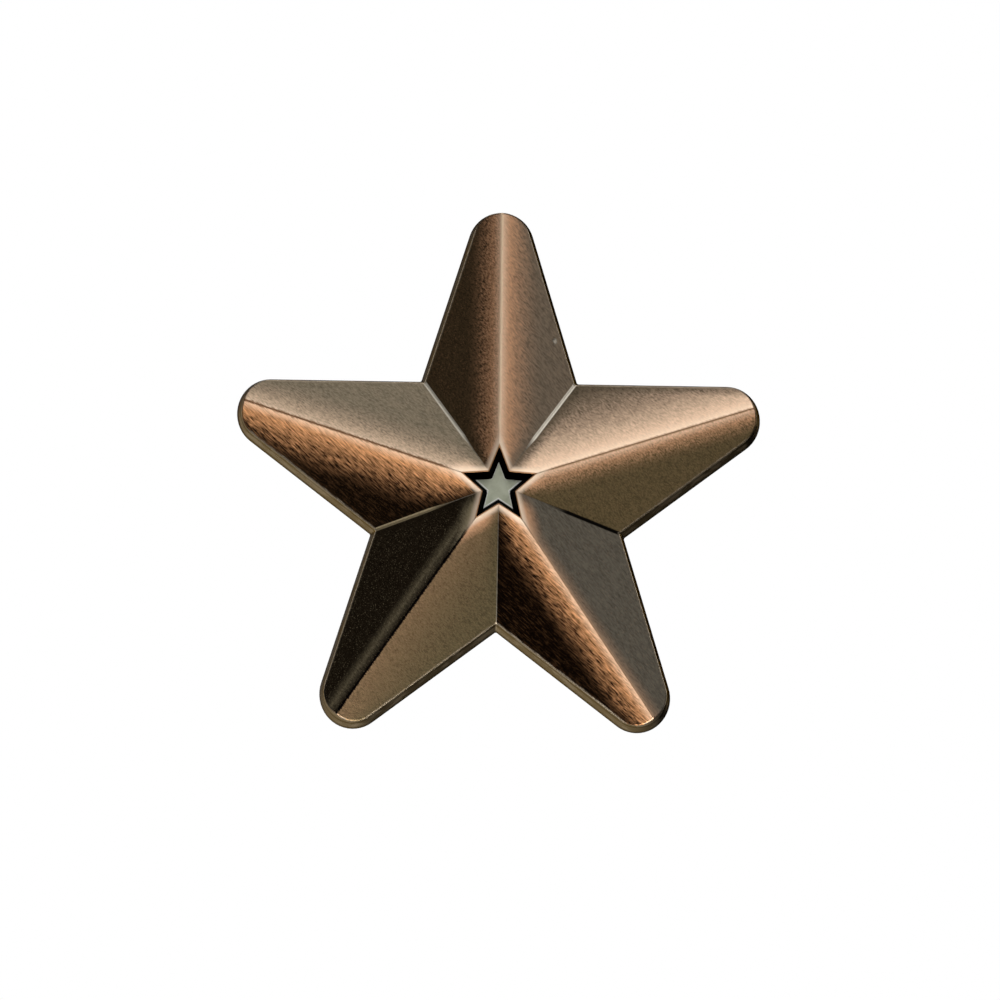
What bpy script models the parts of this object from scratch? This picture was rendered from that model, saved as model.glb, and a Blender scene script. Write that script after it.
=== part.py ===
"""Five-pointed star pin: a faceted cast star, held on by two posts and butterfly clutches.

Frame: +Z is up as worn, the face looks along -Y, and the origin is the middle of the flat back.
Left is -X, as seen from the front. Lengths below are in millimetres and are built in metres.
"""

from math import atan2, cos, hypot, pi, radians, sin

import bmesh
import bpy
from mathutils import Vector

MM = 0.001

# Star: overall size across the rounded tips, and its depth.
STAR_WIDTH = 38.0
STAR_HEIGHT = 37.95
WALL_HEIGHT = 2.1            # side wall, from the back to the edge of the facets
FACET_RISE = 3.25            # from the edge of the facets to where the ten planes meet
WALL_DRAFT = 0.36            # how far the wall leans in over its height
TIP_ROUNDING = 2.45          # radius of each tip at the back
ARMS = 5
TIP_ARC_STEPS = 20

# Star sunk into the centre, with its arms on the ridges.
RECESS_TIP_RADIUS = 2.7
RECESS_CORNER_RADIUS = 1.2
RECESS_DEPTH = 2.2           # floor below the point where the facets meet
RECESS_TAPER = 0.26          # how far its walls lean in over that depth

# Posts: headed pins soldered to the back.
POST_SPACING = 12.0
POST_ABOVE_CENTRE = 1.95
POST_RADIUS = 0.575
POST_LENGTH = 9.0            # from the star's back to the point
POST_POINT_LENGTH = 1.5
POST_POINT_RADIUS = 0.1
GROOVE_BELOW_POINT = 0.35    # from the groove to the start of the point
GROOVE_WIDTH = 0.45
GROOVE_DEPTH = 0.12
FLANGE_RADIUS = 1.4
FLANGE_THICKNESS = 0.35
FLANGE_FILLET = 0.35
SOLDER_FLOOR = 0.15          # solder under the flange
SOLDER_SPREAD = 0.65         # how far it runs out round the flange
SOLDER_GAP = 0.05

# Clutch plate: sheet brass, pressed and pierced.
CLOTH_GAP = 1.3              # star's back to the plate's rim
PLATE_RADIUS = 5.6
PLATE_THICKNESS = 0.35
RIM_DROP = 0.25              # the rim turns towards the cloth
RIM_WIDTH = 0.7
HOLE_CLEARANCE = 0.08
DIMPLE_RISE = 0.35
DIMPLE_LAND = 0.3            # flat ring round the hole, on top of the dimple
DIMPLE_SLOPE = 0.45          # width of the dimple's sloping side
TAB_WIDTH = 3.0
TAB_THICKNESS = 0.35
TAB_FOLD = 1.05
TAB_GAP = 0.05
WINDOW_SIDE_CLEARANCE = 0.12
WINDOW_TO_RIM = 0.2          # sheet left between a window and the turned rim

# Clutch spring: one strip of sheet, bent at both ends of its seat.
SPRING_THICKNESS = 0.3
SEAT_LENGTH = 5.5
SEAT_WIDTH = 5.0
SEAT_HOLE_CLEARANCE = 0.12
BEND_GAP = 0.1
WING_WIDTH = 6.0
TONGUE_WIDTH = 3.6
TONGUE_LAND = 0.6            # metal between the slot and the tongue's end
UPPER_LOOP_RADIUS = 1.35
LOWER_LOOP_RADIUS = 1.7
UPPER_TONGUE_RISE = -0.4     # from the top of the loop to the tongue's end
LOWER_TONGUE_RISE = 0.45
LOOP_START = 0.4             # flat stretch between the bend and the loop
GRIP_CLEARANCE = 0.06        # post to the slot's gripping end
SLOT_TRAVEL = 0.6            # room for the slot to move when the wings are squeezed
SLOT_SIDE_CLEARANCE = 0.12

# Places that follow from the sizes above.
POST_HOLE_RADIUS = POST_RADIUS + HOLE_CLEARANCE
DIMPLE_TOP_RADIUS = POST_HOLE_RADIUS + DIMPLE_LAND
DIMPLE_RADIUS = DIMPLE_TOP_RADIUS + DIMPLE_SLOPE
PLATE_FLAT_RADIUS = PLATE_RADIUS - RIM_WIDTH
PLATE_TOP = RIM_DROP + PLATE_THICKNESS
SEAT_BOTTOM = PLATE_TOP + TAB_GAP
SEAT_MIDDLE = SEAT_BOTTOM + SPRING_THICKNESS / 2
TAB_FOLD_BOTTOM = SEAT_BOTTOM + SPRING_THICKNESS + TAB_GAP
TAB_INNER_FACE = SEAT_WIDTH / 2 + 2 * TAB_GAP
HINGE_OFFSET = SEAT_LENGTH / 2 + BEND_GAP / 2
TONGUE_PAST_POST = POST_RADIUS + GRIP_CLEARANCE + TONGUE_LAND
SPRING_TOP = SEAT_MIDDLE + 2 * max(UPPER_LOOP_RADIUS, LOWER_LOOP_RADIUS) + SPRING_THICKNESS


def material(name, colour, roughness, metallic):
    """A plain Principled BSDF."""
    made = bpy.data.materials.new(name)
    made.use_nodes = True
    shader = made.node_tree.nodes["Principled BSDF"]
    shader.inputs["Base Color"].default_value = (*colour, 1.0)
    shader.inputs["Roughness"].default_value = roughness
    shader.inputs["Metallic"].default_value = metallic
    return made


def add_object(name, mesh_data, finish=None, place=(0, 0, 0), parent=None):
    """Link a new object, with its place in millimetres relative to its parent."""
    made = bpy.data.objects.new(name, mesh_data)
    bpy.context.collection.objects.link(made)
    made.location = Vector(place) * MM
    if parent is not None:
        made.parent = parent
    if finish is not None:
        mesh_data.materials.append(finish)
    return made


def finish_mesh(name, shape, smooth=False):
    """Scale a bmesh from millimetres to metres, turn its faces outwards and make it a mesh."""
    bmesh.ops.scale(shape, vec=(MM, MM, MM), verts=shape.verts)
    bmesh.ops.recalc_face_normals(shape, faces=shape.faces)
    mesh = bpy.data.meshes.new(name)
    shape.to_mesh(mesh)
    shape.free()
    if smooth:
        mesh.shade_smooth()
        mesh.set_sharp_from_angle(angle=radians(35))
    return mesh


def loft(rings, closed=True):
    """Join rings of equal length into a solid, with a flat cap on the first and the last."""
    shape = bmesh.new()
    rows = [[shape.verts.new(point) for point in ring] for ring in rings]
    for low, high in zip(rows, rows[1:]):
        for a in range(len(low)):
            b = (a + 1) % len(low)
            shape.faces.new((low[a], low[b], high[b], high[a]))
    if closed:
        shape.faces.new(rows[0])
        shape.faces.new(rows[-1])
    return shape


def turned(profile, steps):
    """Turn a closed outline of (radius, height) about the Y axis."""
    shape = bmesh.new()
    loop = [shape.verts.new((radius, height, 0)) for radius, height in profile]
    edges = [shape.edges.new((a, b)) for a, b in zip(loop, loop[1:] + loop[:1])]
    bmesh.ops.spin(shape, geom=loop + edges, axis=(0, 1, 0), cent=(0, 0, 0),
                   angle=2 * pi, steps=steps, use_merge=True)
    bmesh.ops.remove_doubles(shape, verts=shape.verts, dist=0.0001)
    return shape


def cutter(name, shape, place=(0, 0, 0), parent=None):
    """A hidden solid for a Boolean modifier."""
    made = add_object(name, finish_mesh(name, shape), place=place, parent=parent)
    made.hide_render = True
    made.display_type = 'WIRE'
    return made


def boolean(target, tool, operation):
    """Add an exact Boolean modifier."""
    step = target.modifiers.new(tool.name, 'BOOLEAN')
    step.operation = operation
    step.solver = 'EXACT'
    step.object = tool


# ---- Star -------------------------------------------------------------------------------------

HALF_TIP = radians(90 / ARMS)           # half the angle of a tip whose edges run on across the star
HALF_ARM = radians(180 / ARMS)          # from a ridge to the next valley


def star_tip_radius():
    """Radius of the sharp tips that gives STAR_WIDTH across the two rounded side tips."""
    arc_centre = (STAR_WIDTH / 2 - TIP_ROUNDING) / cos(HALF_TIP)
    return arc_centre + TIP_ROUNDING / sin(HALF_TIP)


def star_stretch():
    """Height of the star over that of a regular one of the same width."""
    arc_centre = (STAR_WIDTH / 2 - TIP_ROUNDING) / cos(HALF_TIP)
    return STAR_HEIGHT / (arc_centre * (1 + cos(HALF_ARM)) + 2 * TIP_ROUNDING)


def star_outline():
    """The star seen from the front, as (point at the back, lean of the wall there, facet's side).

    The lean is how far the wall moves in for each millimetre of WALL_DRAFT. The side is the unit
    vector square to the straight edge that the facet behind the point runs down to.
    """
    tip = star_tip_radius()
    valley = tip * sin(HALF_TIP) / sin(HALF_TIP + HALF_ARM)
    arc_centre = tip - TIP_ROUNDING / sin(HALF_TIP)
    sweep = pi / 2 - HALF_TIP
    outline = []
    for arm in range(ARMS):
        ridge = pi / 2 + 2 * HALF_ARM * arm
        sides = [Vector((cos(ridge + turn), sin(ridge + turn))) for turn in (-sweep, sweep)]
        along = Vector((cos(ridge), sin(ridge)))
        for step in range(TIP_ARC_STEPS + 1):
            turn = ridge + sweep * (2 * step / TIP_ARC_STEPS - 1)
            out = Vector((cos(turn), sin(turn)))
            outline.append((arc_centre * along + TIP_ROUNDING * out, -out,
                            sides[0] if step < TIP_ARC_STEPS / 2 else sides[1]))
        into_valley = Vector((cos(ridge + HALF_ARM), sin(ridge + HALF_ARM)))
        lean = -into_valley / sin(HALF_TIP + HALF_ARM)
        outline.append((valley * into_valley, lean, sides[1]))
    return outline


def facet_edge(point, lean, side):
    """Where the leaning wall that starts at a point of the back meets its facet."""
    edge_distance = (star_tip_radius() - WALL_DRAFT / sin(HALF_TIP)) * sin(HALF_TIP)
    slope = FACET_RISE / edge_distance
    lean_per_depth = lean * (WALL_DRAFT / WALL_HEIGHT)
    depth = ((WALL_HEIGHT + FACET_RISE - slope * point.dot(side))
             / (1 + slope * lean_per_depth.dot(side)))
    return point + lean_per_depth * depth, depth


def recess_outline(inset):
    """Ten corners of the sunk star, tip and corner in turn, with its edges moved in by inset."""
    rise = RECESS_CORNER_RADIUS * sin(HALF_ARM)
    half_tip = atan2(rise, RECESS_TIP_RADIUS - RECESS_CORNER_RADIUS * cos(HALF_ARM))
    tip = RECESS_TIP_RADIUS - inset / sin(half_tip)
    corner = RECESS_CORNER_RADIUS - inset / sin(half_tip + HALF_ARM)
    points = []
    for arm in range(ARMS):
        ridge = pi / 2 + 2 * HALF_ARM * arm
        points.append(Vector((tip * cos(ridge), tip * sin(ridge))))
        points.append(Vector((corner * cos(ridge + HALF_ARM), corner * sin(ridge + HALF_ARM))))
    return points


def facet_depth(point):
    """Depth of the facets over a point.

    The five planes face the five straight sides. The side that a point lies furthest towards
    crosses the foot of its arm, so the facet there belongs to the next one.
    """
    edge_distance = (star_tip_radius() - WALL_DRAFT / sin(HALF_TIP)) * sin(HALF_TIP)
    reach = sorted(point.dot(Vector((sin(2 * HALF_ARM * arm), cos(2 * HALF_ARM * arm))))
                   for arm in range(ARMS))
    return WALL_HEIGHT + FACET_RISE * (1 - reach[-2] / edge_distance)


def star_shape():
    """The casting: flat back, leaning wall, ten facets, and the sunk star with its floor."""
    shape = bmesh.new()

    def ring(points, depths):
        return [shape.verts.new((x, -depth, z * star_stretch()))
                for (x, z), depth in zip(points, depths)]

    outline = star_outline()
    edges = [facet_edge(*place) for place in outline]
    rim_points = recess_outline(0)
    floor_depth = WALL_HEIGHT + FACET_RISE - RECESS_DEPTH
    back = ring([point for point, _, _ in outline], [0] * len(outline))
    eaves = ring([point for point, _ in edges], [depth for _, depth in edges])
    rim = ring(rim_points, [facet_depth(point) for point in rim_points])
    floor = ring(recess_outline(RECESS_TAPER), [floor_depth] * len(rim_points))

    shape.faces.new(back)
    shape.faces.new(floor)
    for low, high in ((back, eaves), (floor, rim)):
        for a in range(len(low)):
            b = (a + 1) % len(low)
            shape.faces.new((low[a], low[b], high[b], high[a]))
    per_arm = TIP_ARC_STEPS + 2
    for arm in range(ARMS):
        first = arm * per_arm
        middle = first + TIP_ARC_STEPS // 2
        valley = first + TIP_ARC_STEPS + 1
        tip = rim[2 * arm]
        shape.faces.new([eaves[first - 1]] + eaves[first:middle + 1] + [tip, rim[2 * arm - 1]])
        shape.faces.new(eaves[middle:valley + 1] + [rim[2 * arm + 1], tip])
    return shape


# ---- Posts ------------------------------------------------------------------------------------

FLANGE_BOTTOM = SOLDER_GAP + SOLDER_FLOOR + SOLDER_GAP


def post_shape():
    """A headed pin with a filleted flange, a locking groove and a blunt point."""
    top = FLANGE_BOTTOM + FLANGE_THICKNESS
    groove_end = POST_LENGTH - POST_POINT_LENGTH - GROOVE_BELOW_POINT
    groove_start = groove_end - GROOVE_WIDTH
    neck = POST_RADIUS - GROOVE_DEPTH
    profile = [(0, FLANGE_BOTTOM), (FLANGE_RADIUS, FLANGE_BOTTOM), (FLANGE_RADIUS, top)]
    for step in range(5):
        turn = pi / 2 * step / 4
        profile.append((POST_RADIUS + FLANGE_FILLET * (1 - sin(turn)),
                        top + FLANGE_FILLET * (1 - cos(turn))))
    profile += [(POST_RADIUS, groove_start), (neck, groove_start + GROOVE_DEPTH),
                (neck, groove_end - GROOVE_DEPTH), (POST_RADIUS, groove_end),
                (POST_RADIUS, POST_LENGTH - POST_POINT_LENGTH),
                (POST_POINT_RADIUS, POST_LENGTH - POST_POINT_RADIUS / 2),
                (0, POST_LENGTH)]
    return turned(profile, 20)


def solder_shape():
    """A pad that carries the flange and runs up round its edge."""
    inner = FLANGE_RADIUS + SOLDER_GAP
    outer = FLANGE_RADIUS + SOLDER_SPREAD
    floor = SOLDER_GAP + SOLDER_FLOOR
    crest = FLANGE_BOTTOM + FLANGE_THICKNESS / 2
    profile = [(0, SOLDER_GAP), (outer, SOLDER_GAP), (outer - 0.12, SOLDER_GAP + 0.1),
               (inner + 0.12, crest), (inner, crest), (inner, floor), (0, floor)]
    return turned(profile, 24)


# ---- Clutch plate -----------------------------------------------------------------------------

def plate_shape():
    """The pressed disc: hole, dimple, flat, and a rim turned towards the cloth."""
    flat_end = PLATE_FLAT_RADIUS
    cloth_side = [(POST_HOLE_RADIUS, RIM_DROP + DIMPLE_RISE), (DIMPLE_TOP_RADIUS, RIM_DROP + DIMPLE_RISE),
                  (DIMPLE_RADIUS, RIM_DROP), (flat_end, RIM_DROP),
                  (flat_end + RIM_WIDTH * 0.55, RIM_DROP * 0.7), (PLATE_RADIUS - 0.08, 0),
                  (PLATE_RADIUS, 0.08)]
    back_side = [(PLATE_RADIUS, PLATE_THICKNESS - 0.1), (flat_end + RIM_WIDTH * 0.6, PLATE_TOP - 0.08),
                 (flat_end, PLATE_TOP), (DIMPLE_RADIUS, PLATE_TOP),
                 (DIMPLE_TOP_RADIUS, PLATE_TOP + DIMPLE_RISE),
                 (POST_HOLE_RADIUS, PLATE_TOP + DIMPLE_RISE)]
    return turned(cloth_side + back_side, 48)


def window_shape():
    """The opening that a tab was cut from, on the +X side."""
    start = TAB_INNER_FACE + TAB_THICKNESS
    end = PLATE_FLAT_RADIUS - WINDOW_TO_RIM
    half = TAB_WIDTH / 2 + WINDOW_SIDE_CLEARANCE
    return loft([[(start, y, -half), (end, y, -half), (end, y, half), (start, y, half)]
                 for y in (-1, PLATE_TOP + 1)])


def tab_shape():
    """A tab bent up from the plate and folded in over the spring's seat, on the +X side."""
    inner = TAB_INNER_FACE
    outer = inner + TAB_THICKNESS
    top = TAB_FOLD_BOTTOM + TAB_THICKNESS
    round_off = 0.15
    hook = [(inner, PLATE_TOP - PLATE_THICKNESS * 0.7), (outer, PLATE_TOP - PLATE_THICKNESS * 0.7),
            (outer, top - round_off), (outer - round_off, top), (inner - TAB_FOLD, top),
            (inner - TAB_FOLD, TAB_FOLD_BOTTOM), (inner, TAB_FOLD_BOTTOM)]
    return loft([[(x, y, z) for x, y in hook] for z in (-TAB_WIDTH / 2, TAB_WIDTH / 2)])


# ---- Clutch spring ----------------------------------------------------------------------------

def seat_shape():
    """The flat middle of the spring strip, without its hole."""
    x = SEAT_WIDTH / 2
    z = SEAT_LENGTH / 2
    return loft([[(-x, y, -z), (x, y, -z), (x, y, z), (-x, y, z)]
                 for y in (SEAT_BOTTOM, SEAT_BOTTOM + SPRING_THICKNESS)])


def seat_hole_shape():
    """The hole that drops over the plate's dimple."""
    radius = DIMPLE_RADIUS + SEAT_HOLE_CLEARANCE
    return turned([(0, 0), (radius, 0), (radius, PLATE_TOP + 2), (0, PLATE_TOP + 2)], 32)


def wing_path(loop_radius, tongue_rise):
    """Middle line of a wing, as (distance out, height) from its hinge, and its width there."""
    start = BEND_GAP / 2
    loop_centre = start + LOOP_START
    path = [(start, 0, SEAT_WIDTH)]
    steps = 10
    for step in range(steps + 1):
        turn = pi * step / steps
        width = SEAT_WIDTH + (WING_WIDTH - SEAT_WIDTH) * sin(turn)
        path.append((loop_centre + loop_radius * sin(turn),
                     loop_radius * (1 - cos(turn)), width))
    tongue_end = -HINGE_OFFSET - TONGUE_PAST_POST
    length = loop_centre - tongue_end
    for share, width in ((0.3, TONGUE_WIDTH), (0.85, TONGUE_WIDTH), (0.95, TONGUE_WIDTH * 0.8),
                         (1.0, TONGUE_WIDTH * 0.5)):
        path.append((loop_centre - share * length, 2 * loop_radius + share * tongue_rise, width))
    return path


def wing_shape(loop_radius, tongue_rise):
    """A wing as a strip along its path, with +Z out from the post and +Y away from the plate."""
    path = wing_path(loop_radius, tongue_rise)
    rings = []
    for here, (out, height, width) in enumerate(path):
        before = path[max(here - 1, 0)]
        after = path[min(here + 1, len(path) - 1)]
        run = after[0] - before[0]
        rise = after[1] - before[1]
        side = SPRING_THICKNESS / 2 / hypot(run, rise)
        lift = (-rise * side, run * side)
        rings.append([(width / 2 * across, height + lift[1] * face, out + lift[0] * face)
                      for across, face in ((-1, -1), (1, -1), (1, 1), (-1, 1))])
    return loft(rings)


def slot_shape():
    """The slot in a tongue: round at both ends, longer than the post by the wing's travel."""
    half = POST_RADIUS + SLOT_SIDE_CLEARANCE
    grip_end = -POST_RADIUS - GRIP_CLEARANCE + half
    free_end = grip_end + SLOT_TRAVEL
    outline = []
    for centre, start in ((free_end, 0), (grip_end, pi)):
        for step in range(9):
            turn = start + pi * step / 8
            outline.append((half * cos(turn), centre + half * sin(turn)))
    heights = (SEAT_MIDDLE, SPRING_TOP + abs(LOWER_TONGUE_RISE) + abs(UPPER_TONGUE_RISE))
    return loft([[(x, y, z) for x, z in outline] for y in heights])


# ---- Assembly ---------------------------------------------------------------------------------

def build_star(bronze):
    """The casting, in one piece."""
    add_object("star_body", finish_mesh("star_body", star_shape()), bronze)


def build_post(side, place, bronze, tin):
    """A solder pad and its post."""
    add_object("solder_" + side, finish_mesh("solder", solder_shape(), smooth=True), tin, place)
    add_object("post_" + side, finish_mesh("post", post_shape(), smooth=True), bronze, place)


def build_clutch(side, place, brass, spring_brass):
    """A clutch: its plate slides on the post, and each wing turns about its bend."""
    x, z = place[0], place[2]
    clutch = add_object("clutch_" + side, None, place=(x, CLOTH_GAP, z))

    plate = add_object("clutch_plate_" + side, finish_mesh("plate", plate_shape(), smooth=True),
                       brass, parent=clutch)
    for end, turn in (("inner", 0), ("outer", pi)):
        window = cutter("window_" + end + "_" + side, window_shape(), parent=clutch)
        tab = cutter("tab_" + end + "_" + side, tab_shape(), parent=clutch)
        window.rotation_euler = (0, turn, 0)
        tab.rotation_euler = (0, turn, 0)
        boolean(plate, window, 'DIFFERENCE')
        boolean(plate, tab, 'UNION')

    seat = add_object("spring_seat_" + side, finish_mesh("seat", seat_shape()), spring_brass,
                      parent=clutch)
    boolean(seat, cutter("seat_hole_" + side, seat_hole_shape(), parent=clutch), 'DIFFERENCE')

    for end, turn, loop_radius, tongue_rise in (
            ("upper", 0, UPPER_LOOP_RADIUS, UPPER_TONGUE_RISE),
            ("lower", pi, LOWER_LOOP_RADIUS, LOWER_TONGUE_RISE)):
        hinge = (0, SEAT_MIDDLE, HINGE_OFFSET * cos(turn))
        wing = add_object("wing_" + end + "_" + side,
                          finish_mesh("wing", wing_shape(loop_radius, tongue_rise)),
                          spring_brass, place=hinge, parent=clutch)
        wing.rotation_euler = (0, turn, 0)
        slot = cutter("slot_" + end + "_" + side, slot_shape(), parent=clutch)
        slot.rotation_euler = (0, turn, 0)
        boolean(wing, slot, 'DIFFERENCE')


def main():
    """Clear the scene and build every piece."""
    for old in list(bpy.data.objects):
        bpy.data.objects.remove(old, do_unlink=True)

    bronze = material("antique_bronze", (0.24, 0.19, 0.13), 0.32, 1.0)
    post_bronze = material("post_bronze", (0.3, 0.23, 0.15), 0.35, 1.0)
    tin = material("solder_tin", (0.45, 0.44, 0.42), 0.45, 1.0)
    brass = material("clutch_brass", (0.72, 0.53, 0.25), 0.28, 1.0)
    spring_brass = material("spring_brass", (0.76, 0.58, 0.3), 0.25, 1.0)

    build_star(bronze)
    for side, x in (("left", -POST_SPACING / 2), ("right", POST_SPACING / 2)):
        place = (x, 0, POST_ABOVE_CENTRE)
        build_post(side, place, post_bronze, tin)
        build_clutch(side, place, brass, spring_brass)


main()
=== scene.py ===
"""Looks of the star pin: a brushed antique-copper star, its two posts and two butterfly clutches."""

from math import atan2, cos, degrees, hypot, pi, radians, sin

import bmesh
import bpy
from mathutils import Matrix, Vector


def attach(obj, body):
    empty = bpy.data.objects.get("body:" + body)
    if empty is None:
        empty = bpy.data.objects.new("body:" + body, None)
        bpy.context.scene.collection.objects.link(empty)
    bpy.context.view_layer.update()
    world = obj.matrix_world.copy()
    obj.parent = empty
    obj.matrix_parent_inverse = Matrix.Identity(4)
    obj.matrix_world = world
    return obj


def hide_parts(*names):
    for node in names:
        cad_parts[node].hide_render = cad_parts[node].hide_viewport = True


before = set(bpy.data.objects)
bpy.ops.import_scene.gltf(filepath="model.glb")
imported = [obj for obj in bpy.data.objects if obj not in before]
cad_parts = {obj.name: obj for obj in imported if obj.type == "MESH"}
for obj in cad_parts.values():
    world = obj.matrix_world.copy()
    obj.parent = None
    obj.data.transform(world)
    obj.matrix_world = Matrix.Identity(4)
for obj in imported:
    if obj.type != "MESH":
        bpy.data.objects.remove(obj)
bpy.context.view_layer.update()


# ---- Star -------------------------------------------------------------------------------------
# One casting: a leaning side wall, ten facets in five planes and a small star sunk in the middle.
# It is copper plated, blackened all over, then run slantwise under a brush wheel, which takes the
# black off the ridges and leaves it in the valleys, in the sunk star and along the outer edge.

MM = 0.001
STAR_STRETCH = 1.0432        # height over that of a regular star, as in the CAD part
FACET_REACH = 7.47           # mm from the middle to each straight edge of the facets
RECESS_TIP = 2.70            # mm from the middle to the sunk star's tips
RECESS_CORNER = 1.20         # and to the corners between them
RECESS_ZONE = 3.2 * MM       # the whole sunk star lies within this of the middle
RECESS_LOW = -3.5 * MM       # its floor and the floor's edge lie behind this, its rim before it
BACK_TURNED = 0.7            # a face's normal has more Y than this on the back,
FACET_TURNED = -0.55         # less than this on a facet,
FLOOR_TURNED = -0.985        # and less than this on the sunk star's floor
RIDGE_BEVEL = 0.06 * MM
VALLEY_BEVEL = 0.08 * MM
EAVES_BEVEL = 0.12 * MM
RECESS_RIM_BEVEL = 0.06 * MM
RECESS_FLOOR_BEVEL = 0.06 * MM
WALL_CORNER_BEVEL = 0.10 * MM
BACK_BEVEL = 0.18 * MM


def only_selected(piece):
    """Make the piece the one selected, active object."""
    bpy.ops.object.select_all(action='DESELECT')
    piece.select_set(True)
    bpy.context.view_layer.objects.active = piece


def merged_copy(node, name):
    """A copy of a CAD node as one closed surface with whole flat faces."""
    piece = bpy.data.objects.new(name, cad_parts[node].data.copy())
    bpy.context.collection.objects.link(piece)
    piece.data.materials.clear()
    only_selected(piece)
    bpy.ops.object.mode_set(mode='EDIT')
    bpy.ops.mesh.select_all(action='SELECT')
    bpy.ops.mesh.remove_doubles(threshold=0.002 * MM)
    bpy.ops.mesh.dissolve_limited(angle_limit=radians(0.3))
    bpy.ops.object.mode_set(mode='OBJECT')
    return piece


def round_edges(piece, width_of, segments):
    """Round each edge by the width in metres that width_of(edge) gives, and shade it smooth."""
    shape = bmesh.new()
    shape.from_mesh(piece.data)
    weights = shape.edges.layers.float.new('bevel_weight_edge')
    widths = {edge.index: width_of(edge) for edge in shape.edges}
    widest = max(widths.values())
    for edge in shape.edges:
        edge[weights] = widths[edge.index] / widest
    shape.to_mesh(piece.data)
    shape.free()
    only_selected(piece)
    bevel = piece.modifiers.new('rounded edges', 'BEVEL')
    bevel.limit_method = 'WEIGHT'
    bevel.width = widest
    bevel.segments = segments
    bevel.miter_outer = 'MITER_ARC'
    bpy.ops.object.modifier_apply(modifier=bevel.name)
    bpy.ops.object.shade_smooth_by_angle(angle=radians(40))
    weighted = piece.modifiers.new('flat faces stay flat', 'WEIGHTED_NORMAL')
    weighted.keep_sharp = True
    bpy.ops.object.modifier_apply(modifier=weighted.name)


def star_surface(normal, middle):
    """Which surface of the star a face belongs to, from its normal and its middle."""
    if normal.y > BACK_TURNED:
        return 'back'
    near_middle = hypot(middle.x, middle.z / STAR_STRETCH) < RECESS_ZONE
    if near_middle and middle.y > RECESS_LOW:
        return 'floor' if normal.y < FLOOR_TURNED else 'recess wall'
    if near_middle and normal.y > FACET_TURNED:
        return 'recess wall'
    return 'facet' if normal.y < FACET_TURNED else 'wall'


STAR_BEVELS = {
    ('facet', 'wall'): EAVES_BEVEL,
    ('facet', 'recess wall'): RECESS_RIM_BEVEL,
    ('floor', 'recess wall'): RECESS_FLOOR_BEVEL,
    ('back', 'wall'): BACK_BEVEL,
}


def star_bevel(edge):
    """Bevel width of one edge of the star."""
    surfaces = tuple(sorted(star_surface(face.normal, face.calc_center_median())
                            for face in edge.link_faces))
    if surfaces in STAR_BEVELS:
        return STAR_BEVELS[surfaces]
    if surfaces == ('facet', 'facet'):
        return RIDGE_BEVEL if edge.is_convex else VALLEY_BEVEL
    if edge.calc_face_angle() > radians(30):
        return WALL_CORNER_BEVEL
    return 0.0


star = merged_copy("star_body", "star_casting")
round_edges(star, star_bevel, segments=3)

# How the wheel left each facet, by the side its plane faces and the arm it is on. The colours are
# set plane by plane to how bright each plane looks under the lamps, so they are partly the wheel's
# work and partly painted light and shade. Columns: colour of the patina and how strongly specks of
# bare metal show in it; colour of the bare metal and where in millimetres from the ridge it is
# barest; the share of it there, how many millimetres that takes to die out, and how streaky it is.
# A face that fits no entry takes OTHER_FINISH_AND_SHADE.
PLANE_FACES = {'right': 18, 'up': 90, 'left': 162, 'lower left': 234, 'lower right': 306}
ARM_POINTS = {'right': 18, 'top': 90, 'left': 162, 'lower left': 234, 'lower right': 306}
VALLEYS = {'top right': 54, 'top left': 126, 'left': 198, 'bottom': 270, 'right': 342}
PINK_COPPER = (0.85, 0.445, 0.24)
ORANGE_COPPER = (0.82, 0.39, 0.17)
CREAM_COPPER = (0.98, 0.69, 0.48)
OLIVE_BRONZE = (0.50, 0.41, 0.25)
FACET_FINISH_AND_SHADE = {
    ('up', 'left'): ((0.283, 0.232, 0.160), 0.06, CREAM_COPPER, 0, 0.62, 2.7, 0.35),
    ('up', 'right'): ((0.115, 0.089, 0.058), 0.06, CREAM_COPPER, 0, 1.0, 6.3, 0.40),
    ('right', 'top'): ((0.290, 0.222, 0.155), 0.06, PINK_COPPER, 0, 1.0, 3.3, 0.50),
    ('right', 'lower right'): ((0.205, 0.180, 0.138), 0.15, PINK_COPPER, 0, 0.42, 1.0, 0.20),
    ('lower right', 'right'): ((0.140, 0.101, 0.048), 0.10, PINK_COPPER, 0, 1.0, 1.9, 0.65),
    ('lower right', 'lower left'): ((0.145, 0.111, 0.056), 0.12, PINK_COPPER, 0, 0.16, 5.0, 0.25),
    ('lower left', 'left'): ((0.007, 0.004, 0.002), 0.06, ORANGE_COPPER, 0, 1.0, 3.6, 0.95),
    ('lower left', 'lower right'): ((0.004, 0.002, 0.001), 0.03, ORANGE_COPPER, 0, 0.92, 2.6, 0.95),
    ('left', 'top'): ((0.076, 0.049, 0.024), 0.22, PINK_COPPER, 0, 0.90, 2.6, 0.75),
    ('left', 'lower left'): ((0.024, 0.016, 0.009), 0.40, OLIVE_BRONZE, 0.62, 0.34, 0.70, 0.30),
}
OTHER_FINISH_AND_SHADE = FACET_FINISH_AND_SHADE['right', 'lower right']
# Colour of the thin line along each ridge and in each valley, and how strongly it shows: painted
# highlights and painted shade where the rounded ridges and valleys mirror bright and dark parts of
# the room, on the top ridge partly also bare polish. A valley's line gains strength outwards, so
# above 1 it starts nearer the middle.
PAINTED_RIDGE_LINES = {'top': (1.0, 0.74, 0.50, 1.0), 'left': (0.20, 0.085, 0.03, 0.75),
               'right': (0.38, 0.19, 0.08, 0.6), 'lower right': (0.85, 0.52, 0.32, 0.4),
               'lower left': (0.003, 0.002, 0.002, 1.0)}
PAINTED_VALLEY_LINES = {'top right': (0.95, 0.86, 0.72, 6.0), 'top left': (0.60, 0.55, 0.46, 5.0),
                'left': (0.34, 0.27, 0.16, 2.5), 'bottom': (0.05, 0.04, 0.03, 0.0),
                'right': (0.005, 0.004, 0.003, 2.5)}
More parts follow.
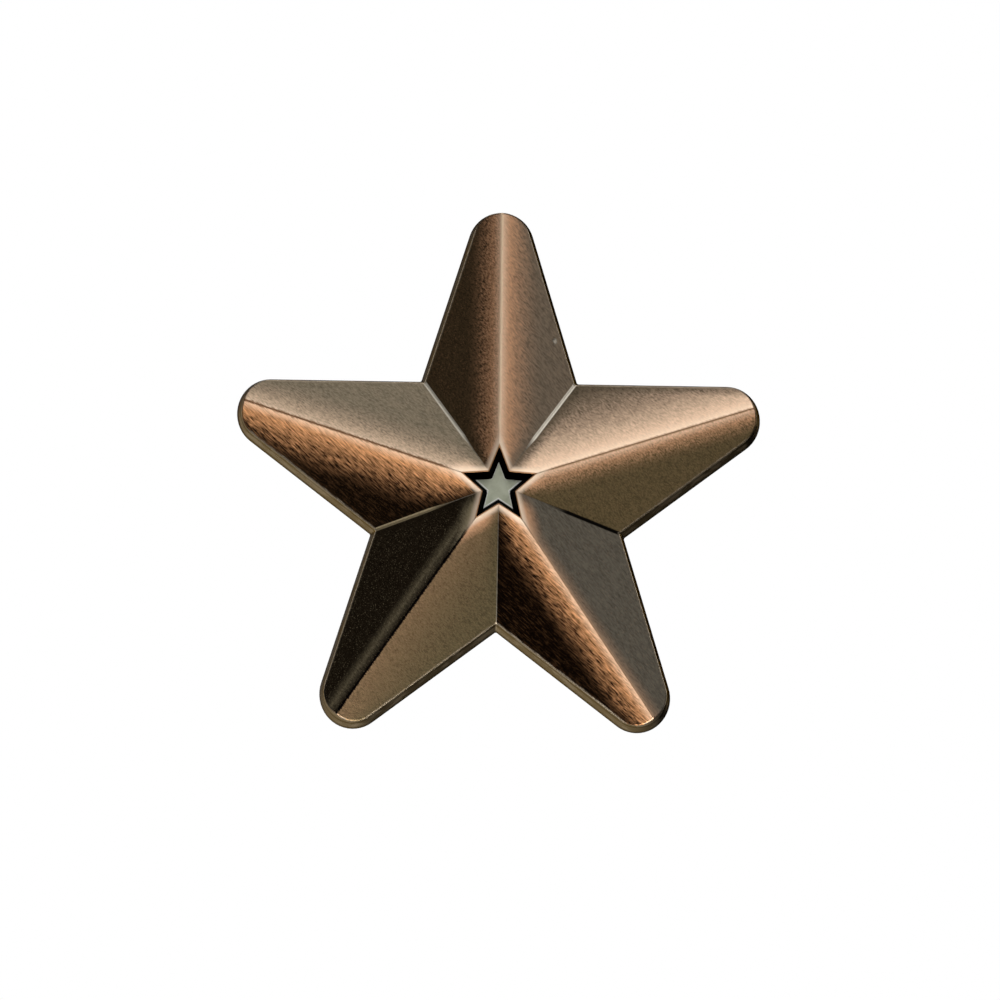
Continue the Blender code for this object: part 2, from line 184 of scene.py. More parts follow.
# Side walls: their colour, and how far from the back in millimetres they are black, where they face
# up or sideways and where they face down. Walls facing down get the lighter colour and less black:
# partly the wheel's wear, partly painted light from below, with painted shade on the walls facing
# up.
WALL_UP_SHADED, WALL_DOWN_LIT = Vector((0.125, 0.094, 0.060)), Vector((0.42, 0.345, 0.24))
WALL_BLACK_ABOVE, WALL_BLACK_BELOW = 1.0, 0.5
WALL_UP, WALL_DOWN = 0.1, -0.6        # Z of the wall's normal at the one and at the other


def nearest(bearing, named):
    """The name whose bearing in degrees is nearest."""
    return min(named, key=lambda name: abs((bearing - named[name] + 180) % 360 - 180))


FINISH_KINDS = {'patina': 'FLOAT_COLOR', 'bare metal': 'FLOAT_COLOR', 'painted ridge line': 'FLOAT_COLOR',
                'painted valley line': 'FLOAT_COLOR', 'wheel': 'FLOAT_VECTOR'}
for label, kind in FINISH_KINDS.items():
    star.data.attributes.new(label, kind, 'FACE')
# Looked up once they are all there: adding one can spoil what was looked up before it.
finish_of = {label: star.data.attributes[label].data for label in FINISH_KINDS}
for face in star.data.polygons:
    plane = nearest(degrees(atan2(face.normal.z, face.normal.x)), PLANE_FACES)
    bearing = degrees(atan2(face.center.z / STAR_STRETCH, face.center.x))
    arm = nearest(bearing, ARM_POINTS)
    if star_surface(face.normal, face.center) == 'wall':
        # Lighter the more the wall faces down: partly wear, partly painted light.
        faces_down = min(max((WALL_UP - face.normal.z) / (WALL_UP - WALL_DOWN), 0), 1)
        patina = WALL_UP_SHADED.lerp(WALL_DOWN_LIT, faces_down)
        at_ridge = WALL_BLACK_ABOVE + (WALL_BLACK_BELOW - WALL_BLACK_ABOVE) * faces_down
        specks, bare, barest, reach, streaks = 0, PINK_COPPER, 0, 0, 0
    else:
        patina, specks, bare, barest, at_ridge, reach, streaks = FACET_FINISH_AND_SHADE.get(
            (plane, arm), OTHER_FINISH_AND_SHADE)
    finish_of['patina'][face.index].color = (*patina, specks)
    finish_of['bare metal'][face.index].color = (*bare, barest)
    finish_of['wheel'][face.index].vector = (at_ridge, reach, streaks)
    finish_of['painted ridge line'][face.index].color = PAINTED_RIDGE_LINES[arm]
    finish_of['painted valley line'][face.index].color = PAINTED_VALLEY_LINES[nearest(bearing, VALLEYS)]


def add_node(tree, kind, sockets=None, **settings):
    """Add a node with its settings; sockets gives values, or outputs of other nodes to link."""
    made = tree.nodes.new(kind)
    for name, value in settings.items():
        setattr(made, name, value)
    for name, value in (sockets or {}).items():
        if isinstance(value, bpy.types.NodeSocket):
            tree.links.new(value, made.inputs[name])
        else:
            made.inputs[name].default_value = value
    return made


def maths(tree, operation, *values, clamp=False):
    """The output of a Math node over values or other outputs."""
    return add_node(tree, 'ShaderNodeMath', dict(enumerate(values)),
                    operation=operation, use_clamp=clamp).outputs[0]


def fade(tree, value, start, end, to_start=1.0, to_end=0.0, smooth=True):
    """value carried from the range start..end to to_start..to_end, and held beyond it."""
    return add_node(tree, 'ShaderNodeMapRange',
                    {'Value': value, 'From Min': start, 'From Max': end,
                     'To Min': to_start, 'To Max': to_end},
                    interpolation_type='SMOOTHSTEP' if smooth else 'LINEAR').outputs[0]


def mixed_colour(tree, share, low, high, blend='MIX'):
    """Two colours mixed by share, 0 to 1."""
    return add_node(tree, 'ShaderNodeMix', {0: share, 6: low, 7: high},
                    data_type='RGBA', blend_type=blend).outputs[2]


def millimetres(tree, turn=(0, 0, 0)):
    """Object coordinates in millimetres, turned."""
    place = add_node(tree, 'ShaderNodeTexCoord').outputs['Object']
    return add_node(tree, 'ShaderNodeMapping',
                    {'Vector': place, 'Rotation': turn, 'Scale': (1000, 1000, 1000)}).outputs[0]


def start_group(name, inputs, outputs):
    """An empty node group, with its input and output sockets by name."""
    group = bpy.data.node_groups.new(name, 'ShaderNodeTree')
    for label, kind, value in inputs:
        socket = group.interface.new_socket(name=label, in_out='INPUT', socket_type=kind)
        if value is not None:
            socket.default_value = value
    for label, kind in outputs:
        group.interface.new_socket(name=label, in_out='OUTPUT', socket_type=kind)
    return (group, group.nodes.new('NodeGroupInput').outputs,
            group.nodes.new('NodeGroupOutput').inputs)


def place_group(tree, group, **sockets):
    """Place a group with values or links on its named sockets, and give its outputs."""
    made = add_node(tree, 'ShaderNodeGroup', node_tree=group)
    for name, value in sockets.items():
        socket = made.inputs[name.replace('_', ' ')]
        if isinstance(value, bpy.types.NodeSocket):
            tree.links.new(value, socket)
        else:
            socket.default_value = value
    return made.outputs


def new_material(name, **shader_values):
    """A material with its node tree and its Principled shader, with plain values on its sockets."""
    made = bpy.data.materials.new(name)
    made.use_nodes = True
    shader = made.node_tree.nodes['Principled BSDF']
    for label, value in shader_values.items():
        shader.inputs[label.replace('_', ' ')].default_value = value
    return made, made.node_tree, shader


def raise_relief(tree, shader, height, strength, depth):
    """Let a height stand out on a shader's surface, depth metres at most."""
    relief = add_node(tree, 'ShaderNodeBump',
                      {'Height': height, 'Strength': strength, 'Distance': depth}).outputs[0]
    tree.links.new(relief, shader.inputs['Normal'])


# Brushed grain: short scratches along the X axis of the coordinates, and broader bands of them.
brushed_grain, given, result = start_group(
    'brushed grain',
    [('Vector', 'NodeSocketVector', None), ('Across', 'NodeSocketFloat', 7.0),
     ('Along', 'NodeSocketFloat', 0.8)],
    [('Scratches', 'NodeSocketFloat'), ('Bands', 'NodeSocketFloat')])
stretch = add_node(brushed_grain, 'ShaderNodeCombineXYZ',
                   {0: given['Along'], 1: given['Across'], 2: given['Across']}).outputs[0]
drawn = add_node(brushed_grain, 'ShaderNodeVectorMath', {0: given['Vector'], 1: stretch},
                 operation='MULTIPLY').outputs[0]
fine = add_node(brushed_grain, 'ShaderNodeTexNoise',
                {'Vector': drawn, 'Scale': 1.0, 'Detail': 3.0, 'Roughness': 0.6}).outputs[0]
broad = add_node(brushed_grain, 'ShaderNodeTexNoise',
                 {'Vector': drawn, 'Scale': 0.3, 'Detail': 2.0, 'Roughness': 0.5}).outputs[0]
brushed_grain.links.new(fade(brushed_grain, fine, 0.25, 0.75, 0.0, 1.0, smooth=False),
                        result['Scratches'])
brushed_grain.links.new(fade(brushed_grain, broad, 0.3, 0.7, 0.0, 1.0), result['Bands'])

# Tarnish: soft cloudy patches and a dusting of small specks.
tarnish, given, result = start_group(
    'tarnish',
    [('Vector', 'NodeSocketVector', None), ('Patch Size', 'NodeSocketFloat', 2.0),
     ('Speck Size', 'NodeSocketFloat', 0.12)],
    [('Patches', 'NodeSocketFloat'), ('Specks', 'NodeSocketFloat')])
cloud = add_node(tarnish, 'ShaderNodeTexNoise',
                 {'Vector': given['Vector'],
                  'Scale': maths(tarnish, 'DIVIDE', 1.0, given['Patch Size']),
                  'Detail': 4.0, 'Roughness': 0.55}).outputs[0]
speck = add_node(tarnish, 'ShaderNodeTexNoise',
                 {'Vector': given['Vector'],
                  'Scale': maths(tarnish, 'DIVIDE', 1.0, given['Speck Size']),
                  'Detail': 2.0, 'Roughness': 0.6}).outputs[0]
tarnish.links.new(fade(tarnish, cloud, 0.35, 0.68, 0.0, 1.0), result['Patches'])
tarnish.links.new(fade(tarnish, speck, 0.56, 0.74, 0.0, 1.0), result['Specks'])

# Distances on the star in millimetres: to the nearest ridge, valley, outer edge and rim of the sunk
# star, and out from the middle. The rim's is worked out from the slant of its edges.
rim_slant = atan2(RECESS_TIP - RECESS_CORNER * cos(pi / 5), RECESS_CORNER * sin(pi / 5))
RECESS_REACH = RECESS_TIP * cos(rim_slant)
star_distances, given, result = start_group(
    'star distances', [('Vector', 'NodeSocketVector', None)],
    [(name, 'NodeSocketFloat') for name in ('Ridge', 'Valley', 'Edge', 'Rim', 'Middle')])
part = add_node(star_distances, 'ShaderNodeSeparateXYZ', {0: given['Vector']}).outputs
height = maths(star_distances, 'DIVIDE', part[2], STAR_STRETCH)
bearing = maths(star_distances, 'SUBTRACT', maths(star_distances, 'ARCTAN2', height, part[0]),
                pi / 2)
off_ridge = maths(star_distances, 'PINGPONG', bearing, pi / 5)
middle = maths(star_distances, 'SQRT', maths(
    star_distances, 'ADD', maths(star_distances, 'MULTIPLY', part[0], part[0]),
    maths(star_distances, 'MULTIPLY', height, height)))


def along(bearing_from_ridge):
    """How far the place lies out towards a bearing in its half arm."""
    angle = maths(star_distances, 'SUBTRACT', bearing_from_ridge, off_ridge)
    return maths(star_distances, 'MULTIPLY', middle, maths(star_distances, 'COSINE', angle))


for name, distance in (
        ('Ridge', along(pi / 2)),
        ('Valley', along(pi / 5 - pi / 2)),
        ('Edge', maths(star_distances, 'SUBTRACT', FACET_REACH, along(2 * pi / 5))),
        ('Rim', maths(star_distances, 'SUBTRACT', along(rim_slant), RECESS_REACH)),
        ('Middle', middle)):
    star_distances.links.new(distance, result[name])

# Facets: the wheel's scratches run from the upper left to the lower right.
BRUSH_TURN = radians(43)
face_metal, tree, shader = new_material('brushed copper face', Metallic=1.0)
mm = millimetres(tree)
far = place_group(tree, star_distances, Vector=mm)
grain = place_group(tree, brushed_grain, Vector=millimetres(tree, turn=(0, -BRUSH_TURN, 0)),
                    Across=12.0, Along=1.5)
clouds = place_group(tree, tarnish, Vector=mm, Patch_Size=3.0, Speck_Size=0.08)
finish = {label: add_node(tree, 'ShaderNodeAttribute', attribute_name=label).outputs
          for label in ('patina', 'bare metal', 'painted ridge line', 'painted valley line', 'wheel')}
wheel = add_node(tree, 'ShaderNodeSeparateXYZ', {0: finish['wheel']['Vector']}).outputs
ragged = maths(tree, 'SUBTRACT', grain['Scratches'], 0.5)
from_barest = maths(tree, 'ABSOLUTE', maths(tree, 'SUBTRACT', far['Ridge'],
                                            finish['bare metal']['Alpha']))
left_bare = maths(tree, 'SUBTRACT', 1.0, maths(tree, 'DIVIDE', from_barest, wheel[1]), clamp=True)
near_ridge = maths(tree, 'MULTIPLY', wheel[0], maths(tree, 'MULTIPLY', left_bare, left_bare))
near_rim = fade(tree, far['Rim'], 0.1, 1.5, 0.9, 0.0)
in_valley = fade(tree, far['Valley'], 0.0, 1.1, 0.15, 1.0)
at_edge = fade(tree, far['Edge'], 0.0, 0.8, 0.4, 1.0)
bare = maths(tree, 'MULTIPLY', maths(tree, 'MAXIMUM', near_ridge, near_rim),
             maths(tree, 'MULTIPLY', in_valley, at_edge))
contrast = maths(tree, 'MULTIPLY', wheel[2], maths(
    tree, 'MULTIPLY', fade(tree, bare, 0.0, 0.25, 0.12, 1.2), fade(tree, bare, 0.6, 1.0, 1.0, 0.4)))
bare = maths(tree, 'MULTIPLY_ADD', ragged, contrast, bare, clamp=True)
shaded = maths(tree, 'ADD', fade(tree, grain['Scratches'], 0.1, 0.9, 0.44, -0.12, smooth=False),
               fade(tree, grain['Bands'], 0.0, 1.0, 0.07, -0.07), clamp=True)
patina = mixed_colour(tree, shaded, finish['patina']['Color'], (0, 0, 0, 1))
specks = maths(tree, 'MULTIPLY', maths(tree, 'MULTIPLY', clouds['Specks'], in_valley),
               finish['patina']['Alpha'])
patina = mixed_colour(tree, specks, patina, finish['bare metal']['Color'])
# Near each ridge the bare metal is lightened to cream: partly burnished polish, partly a painted
# highlight.
crest_polish_and_highlight = maths(tree, 'MULTIPLY', wheel[0], fade(tree, far['Ridge'], 0.0, 0.7, 0.5, 0.0))
metal = mixed_colour(tree, crest_polish_and_highlight, finish['bare metal']['Color'], (1.0, 0.80, 0.60, 1))
colour = mixed_colour(tree, bare, patina, metal)
jagged = maths(tree, 'MULTIPLY_ADD', clouds['Specks'], 0.06,
               maths(tree, 'MULTIPLY', ragged, 0.12))
# Painted ridge lines: highlights and shade drawn along the rounded ridges.
painted_ridge_line_shows = maths(tree, 'MULTIPLY', fade(tree, maths(tree, 'ADD', jagged, far['Ridge']), 0.05,
                                           0.15), finish['painted ridge line']['Alpha'])
painted_ridge_line_shows = maths(tree, 'MULTIPLY', painted_ridge_line_shows, fade(tree, far['Middle'], 3.0, 4.6, 0.0, 1.0))
colour = mixed_colour(tree, painted_ridge_line_shows, colour, finish['painted ridge line']['Color'])
# Painted valley lines: highlights and shade drawn along the rounded valleys, wider outwards.
outwards = maths(tree, 'MULTIPLY', finish['painted valley line']['Alpha'],
                 fade(tree, far['Middle'], 3.0, 8.0, 0.0, 1.0), clamp=True)
valley_width = maths(tree, 'MULTIPLY_ADD', outwards, 0.05, 0.05)
painted_valley_line_shows = fade(tree, maths(tree, 'DIVIDE', far['Valley'], valley_width), 0.8, 1.6)
colour = mixed_colour(tree, maths(tree, 'MULTIPLY', painted_valley_line_shows, outwards), colour,
                      finish['painted valley line']['Color'])
# A cream ring round the sunk star: partly the raised rim rubbed bright, partly a painted highlight.
rim_wear_and_highlight = fade(tree, far['Rim'], 0.12, 0.55, 1.0, 0.0)
colour = mixed_colour(tree, rim_wear_and_highlight, colour, (1.0, 0.78, 0.58, 1))
colour = mixed_colour(tree, fade(tree, far['Rim'], 0.04, 0.12, 0.9, 0.0), colour,
                      (0.45, 0.20, 0.07, 1))
# A light line along the facets' outer edge: partly rubbed metal, partly a painted highlight where
# the rounded edge catches light.
edge_wear_and_highlight = fade(tree, maths(tree, 'ADD', jagged, far['Edge']), 0.02, 0.14, 0.55, 0.0)
colour = mixed_colour(tree, edge_wear_and_highlight, colour, (0.62, 0.50, 0.36, 1))
# One small nick on the right of the top arm, where something sharp has touched it. It is worked out
# on a flat plane with heights shrunk, which makes it taller than it is wide.
NICK_PLANE = (1, 0, 0.7)
NICK_PLACE = (3.95, 0, 7.65)          # mm on that plane
on_plane = add_node(tree, 'ShaderNodeVectorMath', {0: mm, 1: NICK_PLANE},
                    operation='MULTIPLY').outputs[0]
from_nick = add_node(tree, 'ShaderNodeVectorMath', {0: on_plane, 1: NICK_PLACE},
                     operation='DISTANCE').outputs['Value']
nick = fade(tree, maths(tree, 'ADD', jagged, from_nick), 0.06, 0.22)
colour = mixed_colour(tree, maths(tree, 'MULTIPLY', nick, 0.7), colour, (0.85, 0.76, 0.62, 1))
tree.links.new(colour, shader.inputs['Base Color'])
tree.links.new(fade(tree, bare, 0.0, 1.0, 0.42, 0.30), shader.inputs['Roughness'])
dents = maths(tree, 'MULTIPLY_ADD', nick, -6.0, grain['Scratches'])
raise_relief(tree, shader, dents, strength=0.5, depth=0.02 * MM)

# Side wall: smooth plating, darker towards the back, partly patina and partly painted shade, with a
# painted shadow in a thin line under the facets' edge.
EAVES_SHADE_LINE = 1.72                     # mm in front of the part's origin
wall_metal, tree, shader = new_material('smooth bronze wall', Metallic=1.0,
                                        Specular_Tint=(0.50, 0.42, 0.32, 1))
mm = millimetres(tree)
depth = add_node(tree, 'ShaderNodeSeparateXYZ', {0: mm}).outputs[1]
clouds = place_group(tree, tarnish, Vector=mm, Patch_Size=1.5, Speck_Size=0.15)
patina = add_node(tree, 'ShaderNodeAttribute', attribute_name='patina').outputs['Color']
wall_black_reach = add_node(tree, 'ShaderNodeSeparateXYZ', {0: add_node(
    tree, 'ShaderNodeAttribute', attribute_name='wheel').outputs['Vector']}).outputs[0]
colour = mixed_colour(tree, fade(tree, clouds['Patches'], 0.0, 1.0, 0.35, 0.0), patina,
                      (0.03, 0.025, 0.015, 1))
colour = mixed_colour(tree, maths(tree, 'MULTIPLY', clouds['Specks'], 0.5), colour,
                      (0.05, 0.04, 0.03, 1))
# Darker towards the back: partly patina the wheel left, partly painted shade.
back_patina_and_shade = maths(tree, 'MULTIPLY_ADD', clouds['Patches'], 0.15,
                maths(tree, 'ADD', depth, wall_black_reach))
colour = mixed_colour(tree, fade(tree, back_patina_and_shade, -0.35, 0.45, 0.0, 0.95), colour,
                      (0.003, 0.002, 0.002, 1))
# A painted shadow: a thin dark line on the wall just under the facets' edge.
from_eaves_shade = maths(tree, 'ABSOLUTE', maths(tree, 'ADD', depth, EAVES_SHADE_LINE))
colour = mixed_colour(tree, fade(tree, from_eaves_shade, 0.03, 0.18, 0.6, 0.0), colour,
                      (0.02, 0.015, 0.01, 1))
tree.links.new(colour, shader.inputs['Base Color'])
tree.links.new(fade(tree, clouds['Patches'], 0.0, 1.0, 0.22, 0.34), shader.inputs['Roughness'])
raise_relief(tree, shader, clouds['Patches'], strength=0.1, depth=0.05 * MM)

# Wall of the sunk star: the wheel never reaches it, so it is still black.
recess_black, tree, shader = new_material('blackened recess wall', Metallic=1.0,
                                          Specular_Tint=(0.12, 0.11, 0.10, 1))
clouds = place_group(tree, tarnish, Vector=millimetres(tree), Patch_Size=0.5, Speck_Size=0.08)
tree.links.new(mixed_colour(tree, clouds['Patches'], (0.004, 0.004, 0.003, 1),
                            (0.02, 0.016, 0.012, 1)), shader.inputs['Base Color'])
tree.links.new(fade(tree, clouds['Specks'], 0.0, 1.0, 0.35, 0.6), shader.inputs['Roughness'])

# The sunk star's floor is clean in the middle and black in the crease round it, more so low down:
# partly patina, partly painted shade. Just inside the black runs a near-white painted highlight.
CREASE_RISE = 0.13                    # mm that the black is moved up by
floor_metal, tree, shader = new_material('satin recess floor', Metallic=1.0)
mm = millimetres(tree)
clouds = place_group(tree, tarnish, Vector=mm, Patch_Size=0.8, Speck_Size=0.06)
raised = add_node(tree, 'ShaderNodeVectorMath', {0: mm, 1: (0, 0, -CREASE_RISE)},
                  operation='ADD').outputs[0]
in_from_rim = maths(tree, 'MULTIPLY', -1.0, place_group(tree, star_distances, Vector=raised)['Rim'])
colour = mixed_colour(tree, clouds['Patches'], (0.58, 0.60, 0.45, 1), (0.68, 0.70, 0.55, 1))
# A painted highlight: a near-white line just inside the black ring.
colour = mixed_colour(tree, fade(tree, in_from_rim, 0.34, 0.44, 1.0, 0.0), colour,
                      (1.0, 1.0, 0.92, 1))
# The black ring in the crease: partly patina, partly painted shade.
tree.links.new(mixed_colour(tree, fade(tree, in_from_rim, 0.26, 0.34, 1.0, 0.0), colour,
                            (0.003, 0.003, 0.003, 1)), shader.inputs['Base Color'])
tree.links.new(fade(tree, clouds['Specks'], 0.0, 1.0, 0.4, 0.55), shader.inputs['Roughness'])
raise_relief(tree, shader, clouds['Specks'], strength=0.2, depth=0.02 * MM)

# Back: left as cast, with a sandy grain, under the same plating.
back_metal, tree, shader = new_material('sandy bronze back', Metallic=1.0)
clouds = place_group(tree, tarnish, Vector=millimetres(tree), Patch_Size=2.5, Speck_Size=0.22)
colour = mixed_colour(tree, clouds['Patches'], (0.22, 0.150, 0.095, 1), (0.36, 0.245, 0.155, 1))
tree.links.new(mixed_colour(tree, maths(tree, 'MULTIPLY', clouds['Specks'], 0.6), colour,
                            (0.45, 0.32, 0.2, 1)), shader.inputs['Base Color'])
tree.links.new(fade(tree, clouds['Patches'], 0.0, 1.0, 0.6, 0.45), shader.inputs['Roughness'])
raise_relief(tree, shader, clouds['Specks'], strength=0.5, depth=0.05 * MM)

METAL_OF = {'facet': face_metal, 'wall': wall_metal, 'recess wall': recess_black,
            'floor': floor_metal, 'back': back_metal}
for metal in METAL_OF.values():
    star.data.materials.append(metal)
for face in star.data.polygons:
    surface = star_surface(face.normal, face.center)
    face.material_index = list(METAL_OF).index(surface)
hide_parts("star_body")
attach(star, "star_pin")


# ---- Posts and solder ---------------------------------------------------------------------------
# Each post is a turned, headed brass pin with a locking groove and a blunt point, plated with the
# star. Its head stands in a pad of soft solder on the star's back, which runs up round its edge.

def sharp_edges(width, angle=30):
    """A width for round_edges: edges sharper than angle degrees get it, the rest none."""
    return lambda edge: width if edge.calc_face_angle(0) > radians(angle) else 0.0


post_metal, tree, shader = new_material('plated post wire', Metallic=1.0)
rings = millimetres(tree, turn=(0, 0, radians(90)))
grain = place_group(tree, brushed_grain, Vector=rings, Across=3.0, Along=14.0)
clouds = place_group(tree, tarnish, Vector=millimetres(tree), Patch_Size=1.2, Speck_Size=0.1)
colour = mixed_colour(tree, clouds['Patches'], (0.30, 0.21, 0.13, 1), (0.62, 0.44, 0.28, 1))
tree.links.new(mixed_colour(tree, maths(tree, 'MULTIPLY', clouds['Specks'], 0.6), colour,
                            (0.08, 0.06, 0.04, 1)), shader.inputs['Base Color'])
tree.links.new(fade(tree, grain['Scratches'], 0.0, 1.0, 0.22, 0.38), shader.inputs['Roughness'])
raise_relief(tree, shader, grain['Scratches'], strength=0.12, depth=0.02 * MM)

solder_metal, tree, shader = new_material('soft solder', Metallic=1.0)
clouds = place_group(tree, tarnish, Vector=millimetres(tree), Patch_Size=0.6, Speck_Size=0.12)
colour = mixed_colour(tree, clouds['Patches'], (0.24, 0.24, 0.23, 1), (0.55, 0.54, 0.51, 1))
tree.links.new(mixed_colour(tree, maths(tree, 'MULTIPLY', clouds['Specks'], 0.5), colour,
                            (0.12, 0.10, 0.07, 1)), shader.inputs['Base Color'])
tree.links.new(fade(tree, clouds['Patches'], 0.0, 1.0, 0.5, 0.3), shader.inputs['Roughness'])
raise_relief(tree, shader, clouds['Patches'], strength=0.5, depth=0.08 * MM)

for side in ("left", "right"):
    post = merged_copy(f"post_{side}", f"post_pin_{side}")
    round_edges(post, sharp_edges(0.05 * MM), segments=2)
    post.data.materials.append(post_metal)
    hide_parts(f"post_{side}")
    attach(post, "star_pin")
    solder = merged_copy(f"solder_{side}", f"solder_pad_{side}")
    round_edges(solder, sharp_edges(0.04 * MM), segments=2)
    solder.data.materials.append(solder_metal)
    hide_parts(f"solder_{side}")
    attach(solder, "star_pin")


# ---- Clutch plates ------------------------------------------------------------------------------
# A disc blanked from sheet brass, with a dimple round the post's hole, a rim turned to the cloth
# and two tabs cut and folded up over the spring. It is tumbled bright, and tarnishes in patches.

plate_metal, tree, shader = new_material('pressed brass', Metallic=1.0)
mm = millimetres(tree)
grain = place_group(tree, brushed_grain, Vector=millimetres(tree, turn=(0, radians(20), 0)),
                    Across=9.0, Along=0.5)
clouds = place_group(tree, tarnish, Vector=mm, Patch_Size=2.2, Speck_Size=0.15)
colour = mixed_colour(tree, clouds['Patches'], (0.50, 0.33, 0.12, 1), (0.80, 0.58, 0.25, 1))
tree.links.new(mixed_colour(tree, maths(tree, 'MULTIPLY', clouds['Specks'], 0.5), colour,
                            (0.22, 0.13, 0.05, 1)), shader.inputs['Base Color'])
tree.links.new(fade(tree, clouds['Patches'], 0.0, 1.0, 0.36, 0.22), shader.inputs['Roughness'])
raise_relief(tree, shader, grain['Scratches'], strength=0.1, depth=0.02 * MM)

for side in ("left", "right"):
    plate = merged_copy(f"clutch_plate_{side}", f"clutch_disc_{side}")
    round_edges(plate, sharp_edges(0.05 * MM), segments=2)
    plate.data.materials.append(plate_metal)
    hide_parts(f"clutch_plate_{side}")
    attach(plate, f"clutch_{side}")


# ---- Clutch springs -----------------------------------------------------------------------------
# One strip of rolled spring brass for each clutch: a flat seat under the plate's tabs, and a wing
# bent up at each end, looped back so that its slotted tongue grips the post.

spring_metal, tree, shader = new_material('rolled spring brass', Metallic=1.0)
mm = millimetres(tree)
grain = place_group(tree, brushed_grain, Vector=millimetres(tree, turn=(0, radians(90), 0)),
                    Across=10.0, Along=0.4)
clouds = place_group(tree, tarnish, Vector=mm, Patch_Size=1.8, Speck_Size=0.12)
colour = mixed_colour(tree, clouds['Patches'], (0.56, 0.40, 0.17, 1), (0.86, 0.66, 0.32, 1))
tree.links.new(mixed_colour(tree, maths(tree, 'MULTIPLY', clouds['Specks'], 0.4), colour,
                            (0.25, 0.15, 0.06, 1)), shader.inputs['Base Color'])
tree.links.new(fade(tree, grain['Bands'], 0.0, 1.0, 0.24, 0.32), shader.inputs['Roughness'])
raise_relief(tree, shader, grain['Scratches'], strength=0.07, depth=0.02 * MM)

POST_HEIGHT = 1.95 * MM      # of the post above the star's middle; the spring lies across it
SEAT_HALF = 2.75 * MM        # from the post to each end of the seat
WING_FOOT = 2.775 * MM       # from the post to where a wing starts
SEAT_TOP = 2.6 * MM          # behind the star's back; a wing's tongue passes above this


def at_foot(place):
    """Whether a place lies on the cut between the seat and a wing."""
    return abs(abs(place.z - POST_HEIGHT) - SEAT_HALF) < 0.15 * MM and place.y < SEAT_TOP


def strip_edges(width, angle):
    """A width for round_edges that leaves the cut between the seat and a wing sharp."""
    def width_of(edge):
        if all(at_foot(corner.co) for corner in edge.verts):
            return 0.0
        return width if edge.calc_face_angle(0) > radians(angle) else 0.0
    return width_of


for side in ("left", "right"):
    seat = merged_copy(f"spring_seat_{side}", f"spring_middle_{side}")
    round_edges(seat, strip_edges(0.05 * MM, angle=30), segments=2)
    seat.data.materials.append(spring_metal)
    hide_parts(f"spring_seat_{side}")
    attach(seat, f"clutch_{side}")
    for level, way in (("upper", 1), ("lower", -1)):
        wing = merged_copy(f"wing_{level}_{side}", f"spring_wing_{level}_{side}")
        round_edges(wing, strip_edges(0.05 * MM, angle=50), segments=2)
        for corner in wing.data.vertices:
            if at_foot(corner.co):
                corner.co.z = POST_HEIGHT + way * WING_FOOT
        wing.data.materials.append(spring_metal)
        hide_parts(f"wing_{level}_{side}")
        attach(wing, f"wing_{level}_{side}")


# ---- Studio -------------------------------------------------------------------------------------
# A pale floor well below the pin, soft boxes in front of it and behind it, and a white room. Metal
# shows what it mirrors, so the boxes' places set how bright each plane of facets is.

FLOOR_BELOW = 140 * MM
bpy.ops.object.select_all(action='DESELECT')
bpy.ops.mesh.primitive_plane_add(size=6, location=(0, 0, -FLOOR_BELOW))
ground = bpy.context.object
ground.name = "studio_floor"
pale, tree, shader = new_material('pale floor', Roughness=0.9)
shader.inputs['Base Color'].default_value = (0.82, 0.82, 0.82, 1)
ground.data.materials.append(pale)
ground.visible_glossy = False


def soft_box(name, bearing, elevation, distance, width, height, power):
    """An area light aimed at the star: degrees to the right of straight in front and up, m, W."""
    towards = Vector((sin(radians(bearing)) * cos(radians(elevation)),
                      -cos(radians(bearing)) * cos(radians(elevation)), sin(radians(elevation))))
    lamp = bpy.data.lights.new(name, 'AREA')
    lamp.shape = 'RECTANGLE'
    lamp.size, lamp.size_y = width, height
    lamp.energy = power
    made = bpy.data.objects.new(name, lamp)
    bpy.context.collection.objects.link(made)
    made.location = towards * distance
    made.rotation_euler = towards.to_track_quat('Z', 'Y').to_euler()
    made.visible_camera = False


soft_box('above', 0, 56, 0.6, 0.40, 0.32, 0.54)
soft_box('right', 48, 21, 0.6, 0.34, 0.34, 0.30)
soft_box('left', -47, 21, 0.6, 0.34, 0.34, 0.16)
soft_box('low right', 33, -30, 0.24, 0.15, 0.13, 0.068)
soft_box('low left', -31, -30, 0.24, 0.15, 0.13, 0.085)
soft_box('front', 0, 17, 0.6, 0.22, 0.26, 0.25)
soft_box('below', 0, -82, 0.12, 0.08, 0.08, 0.16)
soft_box('behind above', 180, 55, 0.6, 0.44, 0.34, 1.0)
soft_box('behind right', 130, 14, 0.6, 0.30, 0.38, 0.75)
soft_box('behind left', -130, 14, 0.6, 0.30, 0.38, 0.50)

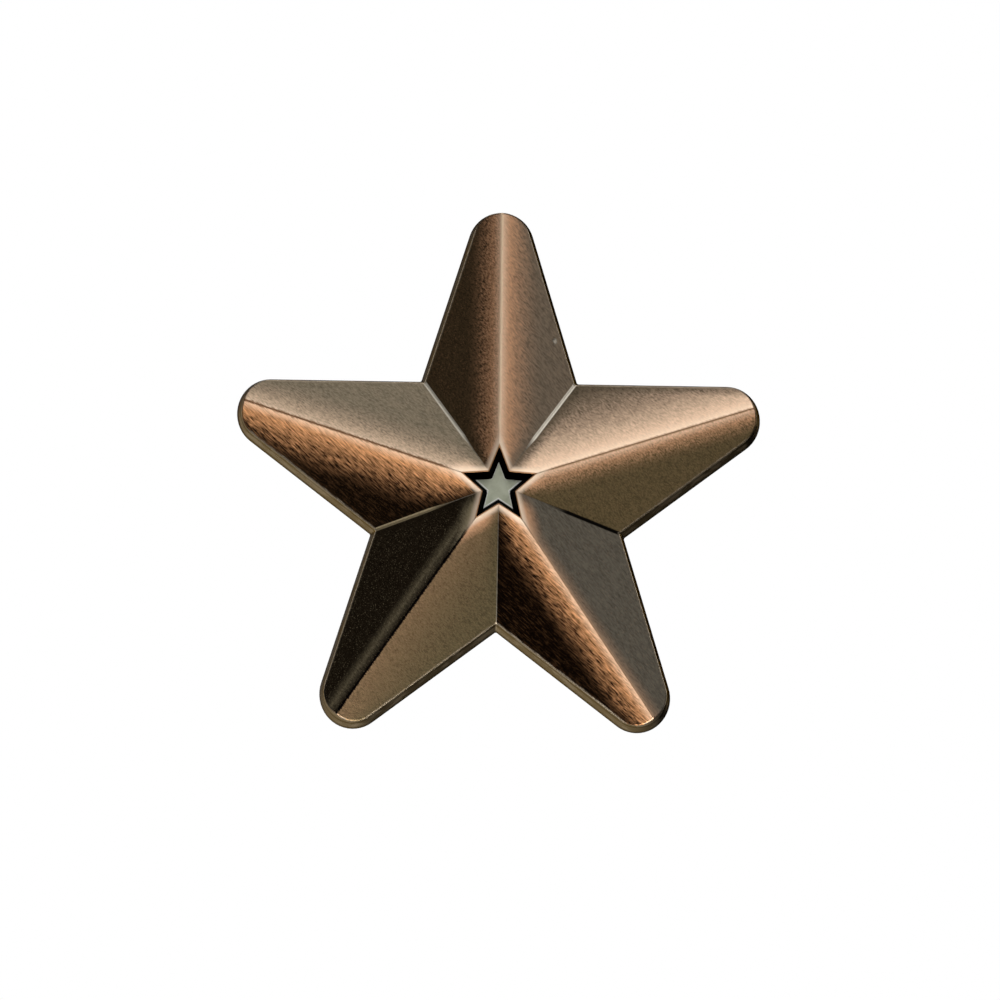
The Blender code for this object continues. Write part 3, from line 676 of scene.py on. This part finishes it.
# The room: white where the camera looks into it; in reflections, dim in front and darker behind,
# but for a glow from behind on the lower left.
world = bpy.data.worlds.new('white room')
bpy.context.scene.world = world
world.use_nodes = True
tree = world.node_tree
tree.nodes.clear()
GLOW_FROM = (-0.6, 0.0, -0.5)
toward = add_node(tree, 'ShaderNodeTexCoord').outputs['Generated']
rays = add_node(tree, 'ShaderNodeLightPath').outputs
behind = fade(tree, add_node(tree, 'ShaderNodeSeparateXYZ', {0: toward}).outputs[1], 0.1, 0.6,
              0.0, 1.0)
towards_glow = add_node(tree, 'ShaderNodeVectorMath', {0: toward, 1: GLOW_FROM},
                        operation='DOT_PRODUCT').outputs[1]
glow = fade(tree, towards_glow, -0.12, 0.40, 0.005, 0.75, smooth=False)
room = mixed_colour(tree, behind, (0.05, 0.05, 0.05, 1), (0, 0, 0, 1))
room = mixed_colour(tree, 1.0, room, mixed_colour(tree, maths(tree, 'MULTIPLY', glow, behind),
                                                  (0, 0, 0, 1), (1, 1, 1, 1)), blend='ADD')
room = mixed_colour(tree, rays['Is Diffuse Ray'], room, (0.8, 0.8, 0.8, 1))
room = mixed_colour(tree, rays['Is Camera Ray'], room, (1, 1, 1, 1))
backdrop = add_node(tree, 'ShaderNodeBackground', {'Color': room})
add_node(tree, 'ShaderNodeOutputWorld', {'Surface': backdrop.outputs[0]})

# The camera looks slightly up at the star, a touch from its left.
CAMERA_BELOW = radians(7.5)
CAMERA_LEFT = radians(1.0)
CAMERA_DISTANCE = 0.4024
CAMERA_ROLL = radians(0.8)
aim = Vector((0.18 * MM, 0, -0.40 * MM))
away = Vector((-sin(CAMERA_LEFT) * cos(CAMERA_BELOW), -cos(CAMERA_LEFT) * cos(CAMERA_BELOW),
               -sin(CAMERA_BELOW)))
lens = bpy.data.cameras.new('camera')
lens.lens = 200
lens.sensor_width = 36
lens.clip_start = 0.01
camera = bpy.data.objects.new('camera', lens)
bpy.context.collection.objects.link(camera)
turned = away.to_track_quat('Z', 'Y').to_matrix() @ Matrix.Rotation(CAMERA_ROLL, 3, 'Z')
camera.matrix_world = Matrix.Translation(aim + away * CAMERA_DISTANCE) @ turned.to_4x4()
bpy.context.scene.camera = camera
bpy.context.scene.view_settings.view_transform = 'Standard'
